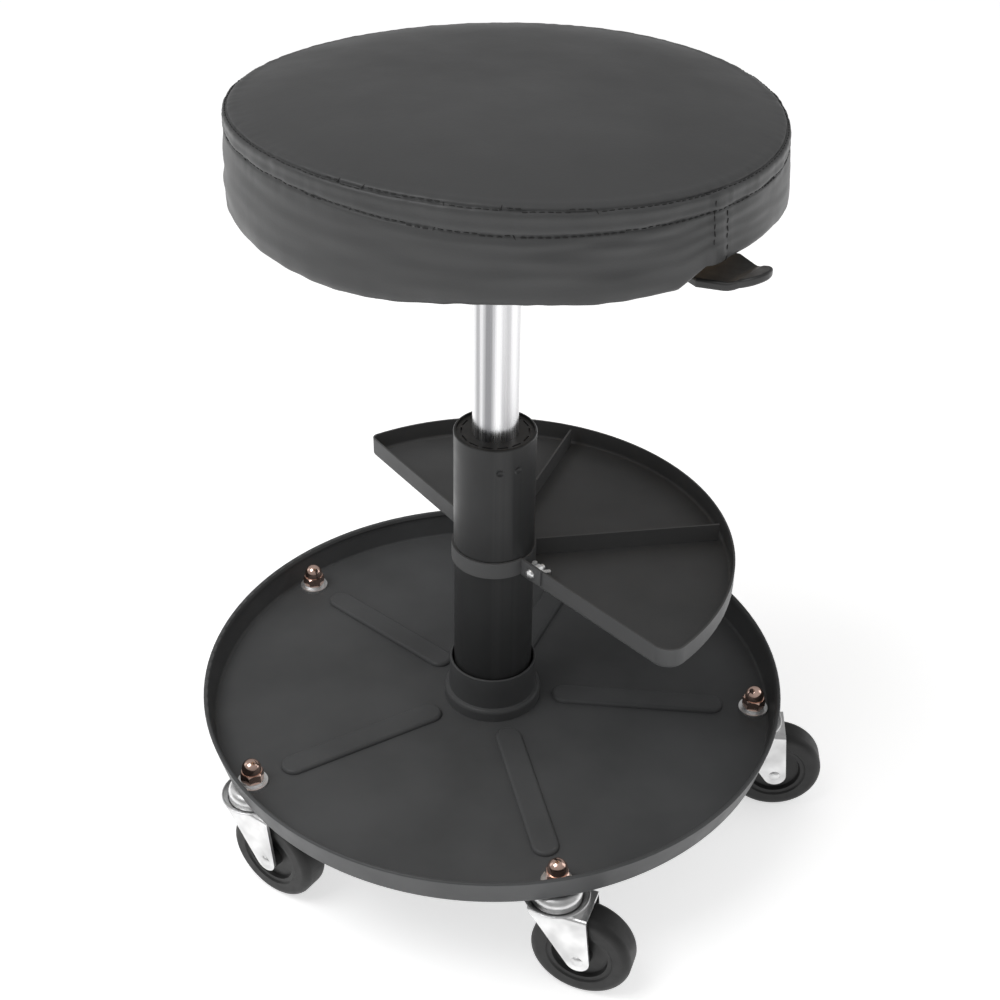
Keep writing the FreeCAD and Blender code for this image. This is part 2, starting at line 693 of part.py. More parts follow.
def make_clamp_screws():
    screws = []
    nuts = []
    face = -s.band_sheet - 0.1
    for number, side in enumerate((-1, 1)):
        screw = turned(f"clamp_screw_{number}", [
            (0, face - 2.4, cap_radius(2.6, 0.6)), (2.6, face - 1.8, 2), (3.5, face - 0.5),
            (3.5, face), (s.clamp_screw, face), (s.clamp_screw, 9), (s.clamp_screw - 0.5, 9.5),
            (0, 9.5)], plane="XY_Plane")
        screws.append(clamp_place(screw, side))
        nut_face = s.tool_sheet + 0.05
        hub = turned(f"nut_hub_{number}", [
            (s.clamp_screw + 0.05, nut_face), (4.2, nut_face), (3.5, nut_face + 5),
            (s.clamp_screw + 0.05, nut_face + 5)], plane="XY_Plane")
        wings = [add_wing(f"nut_wing_{number}_{way + 1}", way, nut_face) for way in (-1, 1)]
        nuts.append(clamp_place(joined(f"wing_nut_{number}", [hub] + wings), side))
    keep(tool_frame(group("clamp_screws", screws)))
    keep(tool_frame(group("wing_nuts", nuts)))


def add_wing(name, way, nut_face):
    """One ear of a wing nut, leaning away from the nut's axis."""
    return padded(name, [
        (way * 2.8, nut_face + 0.5), (way * 5.6, nut_face + 2.8),
        (way * 7.8, nut_face + 6.4, way * 1.9), (way * 5.4, nut_face + 8.2),
        (way * 2.8, nut_face + 4.2)], 1.8, lift=-0.9)


# ---------------------------------------------------------------- casters

def stem_place(number):
    angle = s.first_stem_angle + s.stem_spacing * (number - 1)
    return on_circle(s.stem_circle, angle)


def heading(number):
    return getattr(s, f"heading_{number}")


def at_each_stem(label, make):
    """One copy of a fastener at every caster stem, held in one node."""
    copies = []
    for number in CASTERS:
        x, y = stem_place(number)
        copies.append(place(make(f"{label}_{number}"), x, y, turn=12 * number))
    keep(group(label, copies))


def make_stem(name):
    head_top = s.crown_bottom - 0.3
    top = s.floor_height + 15
    return turned(name, [
        (0, head_top - 2.2), (6.2, head_top - 2.2), (6.2, head_top), (s.stem_radius, head_top),
        (s.stem_radius, top - 0.8), (s.stem_radius - 0.8, top), (0, top)])


def make_cap(name):
    """Upper race of the swivel: a shallow cup with its mouth down over the balls."""
    bore = s.stem_radius + 0.02
    under = s.floor_height - s.pan_sheet
    roof = s.cap_bottom + 2.4
    return turned(name, [
        (bore, roof), (s.cap_radius - 2, roof), (s.cap_radius - 2, s.cap_bottom),
        (s.cap_radius, s.cap_bottom), (s.cap_radius, under - 5, 5.2),
        (s.cap_radius - 4.6, under), (bore, under)])


def make_washer(name):
    return ring(name, s.stem_radius + 0.05, 9.6, s.floor_height, s.floor_height + 1.5)


def make_lock_washer(name):
    return ring(name, s.stem_radius + 0.05, 7.1, s.floor_height + 1.5, s.floor_height + 3.2)


def make_acorn_nut(name):
    """Hexagon nut with a closed dome, screwed down on the stem."""
    seat = s.floor_height + 3.2
    hexagon = doc.addObject("Part::Prism", name + "_hexagon")
    hexagon.Polygon = 6
    hexagon.Circumradius = 7.5
    hexagon.Height = 6.5
    place(hexagon, z=seat)
    chamfer = turned(name + "_chamfer", [
        (0, seat - 1), (6.2, seat - 1), (8.1, seat + 0.9), (8.1, seat + 4.9), (5.9, seat + 7.1),
        (0, seat + 7.1)])
    flats = doc.addObject("Part::Common", name + "_flats")
    flats.Base = hexagon
    flats.Tool = chamfer
    dome = 6.1
    crown = turned(name + "_crown", [
        (0, seat + 4), (dome, seat + 4), (dome, seat + 8.4, dome), (0, seat + 8.4 + dome)])
    bore = cylinder(name + "_bore", s.stem_radius + 0.02, s.floor_height + 15.1 - seat + 5,
                    z=seat - 5)
    return cut(name + "_nut", joined(name + "_solid", [flats, crown]), [bore])


def make_swivel_balls():
    balls = []
    centre_z = s.crown_bottom + s.fork_sheet + s.ball_gap + s.bearing_ball
    for number in CASTERS:
        stem_x, stem_y = stem_place(number)
        for step in range(8):
            x, y = on_circle(s.bearing_circle, 45 * step)
            balls.append(ball(f"swivel_ball_{number}_{step}", s.bearing_ball, stem_x + x,
                              stem_y + y, centre_z))
    keep(group("swivel_balls", balls))


def at_stem(item, number):
    x, y = stem_place(number)
    return place(item, x, y, turn=heading(number))


def at_axle(item, number):
    x, y = stem_place(number)
    shift_x, shift_y = on_circle(s.trail, heading(number))
    return place(item, x + shift_x, y + shift_y, s.wheel_radius, turn=heading(number))


def make_fork(number):
    """Pressed fork: two tapered legs, a crown over the wheel and the lower race's bowl."""
    name = f"caster_fork_{number}"
    low, high = 212, 6
    crown_top = s.crown_bottom + s.fork_sheet
    legs = padded(name + "_legs", [
        (-s.leg_front, s.leg_waist),
        (s.trail + s.leg_end_radius * cosine(low), s.wheel_radius + s.leg_end_radius * sine(low),
         s.leg_end_radius),
        (s.trail, s.wheel_radius - s.leg_end_radius, s.leg_end_radius),
        (s.trail + s.leg_end_radius * cosine(high), s.wheel_radius + s.leg_end_radius * sine(high)),
        (s.leg_back, crown_top), (-s.leg_front - 5, crown_top), (-s.leg_front - 3, s.leg_waist + 4)],
        2 * s.fork_half, plane="XZ_Plane", lift=-s.fork_half)
    inside = s.fork_half - s.fork_sheet
    add_pad(legs, name + "_room", [
        (-40, 0), (60, 0), (60, s.crown_bottom), (-40, s.crown_bottom)],
        2 * inside, plane="XZ_Plane", lift=-inside, kind="Pocket")
    round_edges(legs, name + "_bends", 2.6, lambda edge: (
        edge.BoundBox.YLength < 1e-3 and edge.BoundBox.ZLength < 1e-3
        and edge.BoundBox.ZMax > crown_top.number - 1e-3 and edge.BoundBox.XLength > 10))
    bowl = turned(name + "_bowl", [
        (0, s.crown_bottom), (14.5, s.crown_bottom, -9), (s.bowl_radius, s.bowl_top, 0.9),
        (s.bowl_radius - 1.6, s.bowl_top), (13.8, crown_top), (0, crown_top)])
    stem_hole = cylinder(name + "_stem_hole", s.stem_radius + s.running_gap, 20,
                         z=s.crown_bottom - 5)
    axle_hole = cross_cylinder(name + "_axle_hole", s.axle_radius, 60, s.trail, -30,
                               s.wheel_radius)
    fork = cut(name, joined(name + "_solid", [legs, bowl]), [stem_hole, axle_hole])
    keep(at_stem(fork, number))


def make_axle(number):
    """Riveted axle with a low dome at each end."""
    outside = s.fork_half
    dome = cap_radius(3.6, 1.2)
    keep(at_axle(turned(f"caster_axle_{number}", [
        (0, -outside - 1.6, dome), (3.6, -outside - 0.4), (3.9, -outside),
        (s.axle_radius, -outside), (s.axle_radius, outside), (3.9, outside),
        (3.6, outside + 0.4, dome), (0, outside + 1.6)], plane="XY_Plane"), number))


def make_wheel(number):
    half = s.wheel_width / 2
    shoulder = s.wheel_shoulder
    tread = s.wheel_radius - shoulder
    keep(at_axle(turned(f"caster_tyre_{number}", [
        (s.hub_radius, -half + 1), (s.hub_radius + 1, -half), (tread, -half, shoulder),
        (s.wheel_radius, -half + shoulder), (s.wheel_radius, half - shoulder, shoulder),
        (tread, half), (s.hub_radius + 1, half), (s.hub_radius, half - 1)],
        plane="XY_Plane"), number))
    boss = s.fork_half - s.fork_sheet - 0.3
    web = half - 3.5
    keep(at_axle(turned(f"caster_hub_{number}", [
        (s.axle_radius + s.running_gap, -boss), (7, -boss), (7.6, -web), (16.5, -web),
        (17.5, -half + 1), (s.hub_radius, -half + 1), (s.hub_radius, half - 1),
        (17.5, half - 1), (16.5, web), (7.6, web), (7, boss),
        (s.axle_radius + s.running_gap, boss)], plane="XY_Plane"), number))


# ---------------------------------------------------------------- assembly and export

def check_objects():
    for item in doc.Objects:
        if {"Invalid", "Error"} & set(item.State):
            raise RuntimeError(f"{item.Label} failed: {item.State}")
    for piece in pieces:
        if piece.Shape.isNull() or not piece.Shape.isValid():
            raise RuntimeError(f"{piece.Label} has no valid shape")


def write_steps():
    os.makedirs("parts", exist_ok=True)
    for piece in pieces:
        piece.Shape.exportStep(f"parts/{piece.Label}.step")


make_base_tray()
make_socket()
make_column()
make_bearing()
make_gas_spring()
make_seat_bracket()
make_seat_bolts()
make_seat_board()
make_cushion()
make_lever()
make_tool_tray()
make_band()
make_clamp_screws()
at_each_stem("caster_stems", make_stem)
at_each_stem("caster_caps", make_cap)
at_each_stem("flat_washers", make_washer)
at_each_stem("lock_washers", make_lock_washer)
at_each_stem("acorn_nuts", make_acorn_nut)
make_swivel_balls()
for caster in CASTERS:
    make_fork(caster)
    make_axle(caster)
    make_wheel(caster)
doc.recompute()
check_objects()
write_steps()
for piece in pieces:
    print(f"{piece.Label}: {len(piece.Shape.Solids)} solid(s), {piece.Shape.Volume:.1f} mm3")
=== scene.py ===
"""Looks of the rolling workshop stool: materials, upholstery, studio and camera."""

import json
import math

import bmesh
import bpy
import numpy as np
from mathutils import Matrix, Vector, noise
from mathutils.bvhtree import BVHTree


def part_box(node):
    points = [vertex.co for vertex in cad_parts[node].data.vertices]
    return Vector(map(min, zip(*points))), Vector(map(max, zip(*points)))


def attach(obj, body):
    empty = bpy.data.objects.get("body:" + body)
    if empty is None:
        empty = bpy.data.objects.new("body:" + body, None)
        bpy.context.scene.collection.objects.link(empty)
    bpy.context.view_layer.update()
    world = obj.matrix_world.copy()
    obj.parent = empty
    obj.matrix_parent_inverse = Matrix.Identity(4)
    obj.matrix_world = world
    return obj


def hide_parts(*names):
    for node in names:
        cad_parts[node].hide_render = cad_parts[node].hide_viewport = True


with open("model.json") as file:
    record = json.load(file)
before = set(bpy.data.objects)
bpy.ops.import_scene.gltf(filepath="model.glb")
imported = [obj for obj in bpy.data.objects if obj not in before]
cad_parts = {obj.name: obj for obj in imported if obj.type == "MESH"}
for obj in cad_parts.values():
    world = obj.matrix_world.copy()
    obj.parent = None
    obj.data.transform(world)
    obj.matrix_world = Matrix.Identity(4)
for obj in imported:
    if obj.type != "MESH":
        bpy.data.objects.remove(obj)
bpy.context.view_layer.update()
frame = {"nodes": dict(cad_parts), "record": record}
MM = 0.001


# ---------------------------------------------------------------- materials

class Finish:
    """A Principled material built up from noise in the object's own coordinates."""

    def __init__(self, name, metallic=0.0, coat=0.0, coat_rough=0.1, sheen=0.0, specular=0.5):
        self.material = bpy.data.materials.new(name)
        self.material.use_nodes = True
        self.tree = self.material.node_tree
        self.shader = self.tree.nodes["Principled BSDF"]
        self.shader.inputs["Metallic"].default_value = metallic
        self.shader.inputs["Coat Weight"].default_value = coat
        self.shader.inputs["Coat Roughness"].default_value = coat_rough
        self.shader.inputs["Sheen Weight"].default_value = sheen
        self.shader.inputs["Specular IOR Level"].default_value = specular
        self.place = self.node("ShaderNodeTexCoord").outputs["Object"]
        self.normal = None

    def node(self, kind, **settings):
        made = self.tree.nodes.new(kind)
        for key, value in settings.items():
            setattr(made, key, value)
        return made

    def link(self, source, target):
        self.tree.links.new(source, target)

    def stretched(self, scale):
        mapping = self.node("ShaderNodeMapping")
        mapping.inputs["Scale"].default_value = scale
        self.link(self.place, mapping.inputs["Vector"])
        return mapping.outputs["Vector"]

    def noise(self, scale, detail=3.0, stretch=None):
        """Noise with this many features per metre."""
        made = self.node("ShaderNodeTexNoise")
        made.inputs["Scale"].default_value = scale
        made.inputs["Detail"].default_value = detail
        self.link(self.stretched(stretch) if stretch else self.place, made.inputs["Vector"])
        return made.outputs["Fac"]

    def cells(self, scale):
        made = self.node("ShaderNodeTexVoronoi", feature="SMOOTH_F1")
        made.inputs["Scale"].default_value = scale
        self.link(self.place, made.inputs["Vector"])
        return made.outputs["Distance"]

    def between(self, factor, low, high, start=0.3, end=0.7):
        """Turn a 0-1 factor into a range of values."""
        made = self.node("ShaderNodeMapRange")
        for key, value in (("From Min", start), ("From Max", end), ("To Min", low),
                           ("To Max", high)):
            made.inputs[key].default_value = value
        self.link(factor, made.inputs["Value"])
        return made.outputs["Result"]

    def blend(self, factor, first, second, start=0.3, end=0.7):
        ramp = self.node("ShaderNodeValToRGB")
        ramp.color_ramp.elements[0].position = start
        ramp.color_ramp.elements[0].color = (*first, 1)
        ramp.color_ramp.elements[1].position = end
        ramp.color_ramp.elements[1].color = (*second, 1)
        self.link(factor, ramp.inputs["Fac"])
        return ramp.outputs["Color"]

    def painted_edge_highlight(self, colour, edge, amount):
        """Lighten convex edges with a painted highlight, standing in for light caught on the bends."""
        mix = self.node("ShaderNodeMix", data_type="RGBA")
        geometry = self.node("ShaderNodeNewGeometry")
        # Painted highlight: the colour is lightened on convex edges where light catches the bends.
        convex = self.between(geometry.outputs["Pointiness"], 0.0, amount, 0.52, 0.62)
        self.link(convex, mix.inputs["Factor"])
        self.link(colour, mix.inputs["A"])
        mix.inputs["B"].default_value = (*edge, 1)
        return mix.outputs["Result"]

    def colour(self, source):
        self.link(source, self.shader.inputs["Base Color"])

    def rough(self, factor, low, high):
        self.link(self.between(factor, low, high), self.shader.inputs["Roughness"])

    def bump(self, height, depth, strength=1.0):
        """Add relief this many metres deep."""
        made = self.node("ShaderNodeBump")
        made.inputs["Strength"].default_value = strength
        made.inputs["Distance"].default_value = depth
        self.link(height, made.inputs["Height"])
        if self.normal is not None:
            self.link(self.normal, made.inputs["Normal"])
        self.normal = made.outputs["Normal"]
        self.link(self.normal, self.shader.inputs["Normal"])


def grey(level, tint=0.0):
    """A linear grey; tint moves it from red towards blue."""
    return (level * (1 - tint), level, level * (1 + tint))


# Grey of the painted highlight laid on convex edges.
EDGE_HIGHLIGHT_GREY = 0.16


def coated_metal(name, level, rough, coat, specular=0.25):
    """Black lacquer or powder coat on pressed steel."""
    made = Finish(name, coat=coat, coat_rough=0.22, specular=specular)
    clouds = made.noise(14, 4)
    colour = made.blend(clouds, grey(level * 0.85, 0.02), grey(level * 1.15, 0.02))
    # Painted highlight on convex edges, lightening the coat's colour where the bends catch light.
    made.colour(made.painted_edge_highlight(colour, grey(EDGE_HIGHLIGHT_GREY), 0.35))
    made.rough(made.noise(60, 5), rough - 0.05, rough + 0.06)
    made.bump(made.noise(700, 2), 0.00006, 0.5)
    made.bump(made.noise(35, 2), 0.0004, 0.12)
    return made.material


def bright_metal(name, level, low, high, tint=(1, 1, 1)):
    """Plated or ground steel, softly mottled; low and high bound its roughness."""
    made = Finish(name, metallic=1.0)
    fine = made.noise(1, 4, (420, 420, 420))
    broad = made.noise(1, 2, (60, 60, 60))
    dark = tuple(level * 0.8 * t for t in tint)
    light = tuple(level * 1.12 * t for t in tint)
    made.colour(made.blend(broad, dark, light, 0.35, 0.65))
    made.rough(fine, low, high)
    made.bump(fine, 0.00004, 0.5)
    return made.material


def brushed_tube_with_painted_reflections(name):
    """Bright tube ground lengthways: fine ground lines over broad light and dark bands, the bands a
    painted reflection of its surroundings.
    """
    made = Finish(name, metallic=1.0)
    # Painted reflection: broad light and dark bands in the colour stand in for the surroundings
    # mirrored in the tube.
    painted_reflection_bands = made.noise(1, 1, (150, 150, 0.8))
    lines = made.noise(1, 3, (1500, 1500, 6))
    both = made.node("ShaderNodeMath", operation="MULTIPLY_ADD")
    share_of_lines = 0.22
    made.link(lines, both.inputs[0])
    both.inputs[1].default_value = share_of_lines
    made.link(painted_reflection_bands, both.inputs[2])
    dark, light = (0.27, 0.27, 0.28), (0.92, 0.92, 0.93)
    # The colour runs from dark to light across the painted reflection bands, with the fine ground lines
    # added on top.
    made.colour(made.blend(both.outputs["Value"], dark, light, 0.46, 0.74))
    made.rough(lines, 0.2, 0.34)
    made.bump(lines, 0.00003, 0.5)
    return made.material


def plastic(name, level, rough, grain=900, depth=0.00008, specular=0.5):
    """Moulded plastic, rubber, foam or thread, with a grain this many features per metre."""
    made = Finish(name, specular=specular)
    made.colour(made.blend(made.noise(45, 4), grey(level * 0.85), grey(level * 1.18)))
    made.rough(made.noise(150, 3), rough - 0.07, rough + 0.07)
    made.bump(made.noise(grain, 3), depth, 0.5)
    return made.material


def wood(name):
    """Veneer with its grain along X."""
    made = Finish(name)
    rings = made.noise(1, 6, (9, 120, 300))
    made.colour(made.blend(rings, (0.42, 0.27, 0.14), (0.70, 0.53, 0.34)))
    made.rough(rings, 0.55, 0.75)
    made.bump(rings, 0.0002, 0.5)
    return made.material


def vinyl(name, level):
    """Upholstery vinyl: pebbled grain, soft sheen and cloudy gloss."""
    made = Finish(name, coat=0.06, coat_rough=0.3, sheen=0.06, specular=0.3)
    made.shader.inputs["Sheen Roughness"].default_value = 0.4
    clouds = made.noise(9, 3)
    made.colour(made.blend(clouds, grey(level * 0.92, 0.01), grey(level * 1.1, 0.01)))
    made.rough(made.noise(26, 4), 0.40, 0.54)
    made.bump(made.cells(1150), 0.00010, 0.35)
    made.bump(made.noise(420, 4), 0.00012, 0.35)
    made.bump(made.noise(60, 3), 0.0006, 0.12)
    return made.material


MATERIALS = {
    "black_powder_coat": coated_metal("powder coat", 0.092, 0.42, 0.03, specular=0.15),
    "black_column_paint": coated_metal("column paint", 0.034, 0.36, 0.10),
    # The lever's black paint is lightened to mid grey as a painted reflection of the light its gloss
    # throws back.
    "lever_steel": coated_metal("lever paint", 0.22, 0.42, 0.08),
    "black_bush_plastic": plastic("moulded black plastic", 0.03, 0.42),
    "bearing_steel": bright_metal("ground steel", 0.6, 0.16, 0.28),
    "zinc_plate": bright_metal("zinc plate", 0.80, 0.30, 0.44),
    "bright_washer": bright_metal("bright plate", 0.97, 0.34, 0.48),
    "copper_chrome": bright_metal("copper plate", 0.78, 0.10, 0.18, tint=(1.1, 0.78, 0.66)),
    "chrome_tube": brushed_tube_with_painted_reflections("brushed chrome"),
    "piston_nylon": plastic("natural nylon", 0.6, 0.45),
    "bumper_rubber": plastic("rubber", 0.02, 0.6),
    "plywood": wood("plywood"),
    "foam": plastic("foam", 0.5, 0.9, 500, 0.0006),
    "black_vinyl": vinyl("black vinyl", 0.068),
    "caster_tyre": plastic("caster rubber", 0.022, 0.5, 500, 0.0001, specular=0.35),
    "caster_core": plastic("caster nylon", 0.020, 0.42, 500, 0.0001, specular=0.35),
}
THREAD = plastic("sewing thread", 0.012, 0.55, 3000, 0.0001)

for part in frame["record"]["subparts"]:
    node = frame["nodes"][part["node"]]
    node.data.materials.clear()
    node.data.materials.append(MATERIALS[part["material_slot"]])


# ---------------------------------------------------------------- mesh helpers

def new_piece(name, corners, faces, material):
    mesh = bpy.data.meshes.new(name)
    mesh.from_pydata([tuple(c) for c in corners], [], faces)
    mesh.materials.append(material)
    mesh.update()
    piece = bpy.data.objects.new(name, mesh)
    bpy.context.scene.collection.objects.link(piece)
    return piece


def smooth_shade(piece):
    piece.data.polygons.foreach_set("use_smooth", [True] * len(piece.data.polygons))
    piece.data.update()


def apply_modifiers(piece):
    """Bake the modifiers into the mesh."""
    graph = bpy.context.evaluated_depsgraph_get()
    baked = bpy.data.meshes.new_from_object(
        piece.evaluated_get(graph), preserve_all_data_layers=True, depsgraph=graph)
    piece.modifiers.clear()
    piece.data = baked


def coords(mesh):
    flat = np.empty(len(mesh.vertices) * 3)
    mesh.vertices.foreach_get("co", flat)
    return flat.reshape(-1, 3)


def set_coords(mesh, points):
    mesh.vertices.foreach_set("co", np.asarray(points, float).ravel())
    mesh.update()


def normals(mesh):
    flat = np.empty(len(mesh.vertices) * 3)
    mesh.vertex_normals.foreach_get("vector", flat)
    return flat.reshape(-1, 3)


def bell(distance, width):
    """1 at no distance, falling off smoothly within this width."""
    return np.exp(-(distance / width) ** 2)


# ---------------------------------------------------------------- seat cover

SEAT_LOW, SEAT_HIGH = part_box("seat_cover")
SEAT_X = (SEAT_LOW.x + SEAT_HIGH.x) / 2
SEAT_Y = (SEAT_LOW.y + SEAT_HIGH.y) / 2
SEAT_R = (SEAT_HIGH.x - SEAT_LOW.x) / 2
SEAT_TURNS = 144
SIDE_INSET = 0.9 * MM
HEM_BELOW = 1.2 * MM
COVER_SHEET = 1.1 * MM

# Depths of the two seams below the seat's top.
TOP_SEAM = 10.8 * MM
LOWER_SEAM = 20.3 * MM

# How the cloth simulation runs, and how much of it the taut top keeps.
CLOTH_FRAMES = 20
SWELL_LIMIT = 4.5 * MM
CROWN_UNEVEN = 0.12
CROWN_SIDEWAYS = 0.2

# How the cover has settled; angles are in degrees round the seat's own axis.
DROP_RIGHT = 7.1 * MM
DROP_BACK = 4.2 * MM
SAG_DEPTH = 3.6 * MM
SAG_ANGLE = -97
SAG_SPREAD = 34
# Angle, and how many millimetres the hem hangs below level there.
HEM_DROOP = ((-180, 8), (-150, 6.5), (-124, 8), (-114, 7), (-98, 3), (-88, 2.5), (-70, 5),
             (-57, 5.5), (-50.5, -2.4), (-30, -2.4), (-15, 0.8), (30, 1.5), (90, 2), (150, 5), (180, 8))
OVERLAP_ANGLE = -49.4
OVERLAP_WIDTH = 12.2 * MM

STITCH_PITCH = 3.9 * MM
STITCH_LENGTH = 2.9 * MM
THREAD_RADIUS = 0.34 * MM

# The lever's grip: slope of its tipped end, and the length over which it bends.
PADDLE_RISE = 0.34
BEND_LENGTH = 7.5 * MM


def lean(x, y):
    """How far the top has settled: down to the back, and down to the right along the front."""
    forward = np.clip(0.45 - 0.7 * (y - SEAT_Y) / SEAT_R, -0.25, 1.1)
    return -(forward * DROP_RIGHT * (x - SEAT_X) + DROP_BACK * (y - SEAT_Y)) / SEAT_R


def sag(x, y):
    """How far the lower seam hangs down at the front."""
    across = np.degrees(np.arctan2(y - SEAT_Y, x - SEAT_X)) - SAG_ANGLE
    return SAG_DEPTH * bell(across, SAG_SPREAD)


def tilted(point, share=1.0, hang=0.0):
    """A point of the level seat after settling, with this share of the lean and of the sag."""
    lifted = share * lean(point.x, point.y) - hang * sag(point.x, point.y)
    return Vector((point.x, point.y, point.z + lifted))


def seat_section():
    """Half section of the cover as (radius, height): top, seam, side, hem, turned in below."""
    r, top, low = SEAT_R - SIDE_INSET, SEAT_HIGH.z, SEAT_LOW.z - HEM_BELOW
    seam, lower = SEAT_HIGH.z - TOP_SEAM, SEAT_HIGH.z - LOWER_SEAM
    crown = ((6, 1.0), (20, 1.0), (35, 1.1), (50, 1.2), (64, 1.4), (77, 1.7), (89, 2.1), (100, 2.6),
             (109, 3.2), (117, 3.9), (124, 4.7), (130, 5.6), (135.5, 6.7), (140, 7.9),
             (143.6, 9.1), (146.1, 10.1))
    points = [(x * MM, top - drop * MM) for x, drop in crown]
    points += [(r - 2.7 * MM, seam),
               (r - 1.7 * MM, seam - 1.7 * MM), (r - 1.2 * MM, seam - 3.8 * MM),
               (r - 1.0 * MM, lower + 3.6 * MM), (r - 0.9 * MM, lower + 1.7 * MM),
               (r - 0.9 * MM, lower), (r - 0.7 * MM, lower - 1.8 * MM),
               (r - 0.4 * MM, lower - 4.5 * MM), (r, lower - 9 * MM),
               (r + 0.5 * MM, lower - 14 * MM), (r + 1.0 * MM, lower - 19 * MM),
               (r + 1.4 * MM, low + 7 * MM), (r + 1.5 * MM, low + 3.4 * MM),
               (r + 0.9 * MM, low + 1 * MM), (r - 1.2 * MM, low),
               (r - 4 * MM, low + 1.6 * MM), (r - 8 * MM, low + 4.4 * MM),
               (r - 14 * MM, low + 4.9 * MM), (r - 21 * MM, low + 5.1 * MM)]
    return points


def seat_sheet(section):
    """The cover's outer face as rings of quads round the seat's own axis."""
    corners = [(SEAT_X, SEAT_Y, section[0][1] + 0.1 * MM)]
    for radius, height in section:
        for step in range(SEAT_TURNS):
            angle = 2 * math.pi * step / SEAT_TURNS
            corners.append((SEAT_X + radius * math.cos(angle),
                            SEAT_Y + radius * math.sin(angle), height))
    faces = []
    for step in range(SEAT_TURNS):
        after = (step + 1) % SEAT_TURNS
        faces.append((0, 1 + step, 1 + after))
        for ring in range(len(section) - 1):
            here, below = 1 + ring * SEAT_TURNS, 1 + (ring + 1) * SEAT_TURNS
            faces.append((here + step, below + step, below + after, here + after))
    piece = new_piece("seat_upholstery", corners, faces, MATERIALS["black_vinyl"])
    steps = [math.dist(section[i], section[i + 1]) for i in range(len(section) - 1)]
    along = np.concatenate([[section[0][0]], section[0][0] + np.cumsum(steps)])
    run = piece.data.attributes.new("run", "FLOAT", "POINT")
    run.data.foreach_set("value", np.concatenate([[0.0], np.repeat(along, SEAT_TURNS)]))
    return piece, along


def swell(piece, section):
    """Inflate the cover with its seams and hem held, as foam pushes it out."""
    top, low = SEAT_HIGH.z, SEAT_LOW.z
    held = piece.vertex_groups.new(name="held")
    slack = piece.vertex_groups.new(name="slack")
    for ring, (radius, height) in enumerate(section):
        members = list(range(1 + ring * SEAT_TURNS, 1 + (ring + 1) * SEAT_TURNS))
        at_seam = min(abs(height - (top - TOP_SEAM)), abs(height - (top - LOWER_SEAM))) < 0.1 * MM
        hem = height < low + 1 * MM or radius < SEAT_R - 4 * MM and height < low + 10 * MM
        if at_seam or hem:
            held.add(members, 1.0, "REPLACE")
        elif height < top - LOWER_SEAM:
            slack.add(members, 1.0, "REPLACE")
    crown = 1 + SEAT_TURNS * sum(1 for _, height in section if height > top - TOP_SEAM)
    before = coords(piece.data)
    cloth = piece.modifiers.new("cloth", "CLOTH")
    settings = cloth.settings
    settings.quality = 6
    settings.mass = 0.3
    settings.tension_stiffness = settings.compression_stiffness = 12
    settings.shear_stiffness = 6
    settings.bending_stiffness = 2.5
    settings.use_pressure = True
    settings.uniform_pressure_force = 4
    settings.vertex_group_mass = held.name
    settings.vertex_group_shrink = slack.name
    settings.shrink_min = 0.0
    settings.shrink_max = -0.035
    settings.effector_weights.gravity = 0
    scene = bpy.context.scene
    scene.frame_start, scene.frame_end = 1, CLOTH_FRAMES
    cloth.point_cache.frame_start, cloth.point_cache.frame_end = 1, CLOTH_FRAMES
    for number in range(1, CLOTH_FRAMES + 1):
        scene.frame_set(number)
    graph = bpy.context.evaluated_depsgraph_get()
    after = coords(piece.evaluated_get(graph).data)
    piece.modifiers.remove(cloth)
    scene.frame_set(1)
    moved = after - before
    length = np.linalg.norm(moved, axis=1, keepdims=True)
    moved *= np.minimum(1.0, SWELL_LIMIT / np.maximum(length, 1e-9))
    rings = moved[1:crown].reshape(-1, SEAT_TURNS, 3)
    level = rings[:, :, 2].mean(axis=1, keepdims=True)
    rings[:, :, 2] = level + CROWN_UNEVEN * (rings[:, :, 2] - level)
    rings[:, :, :2] *= CROWN_SIDEWAYS
    set_coords(piece.data, before + moved)


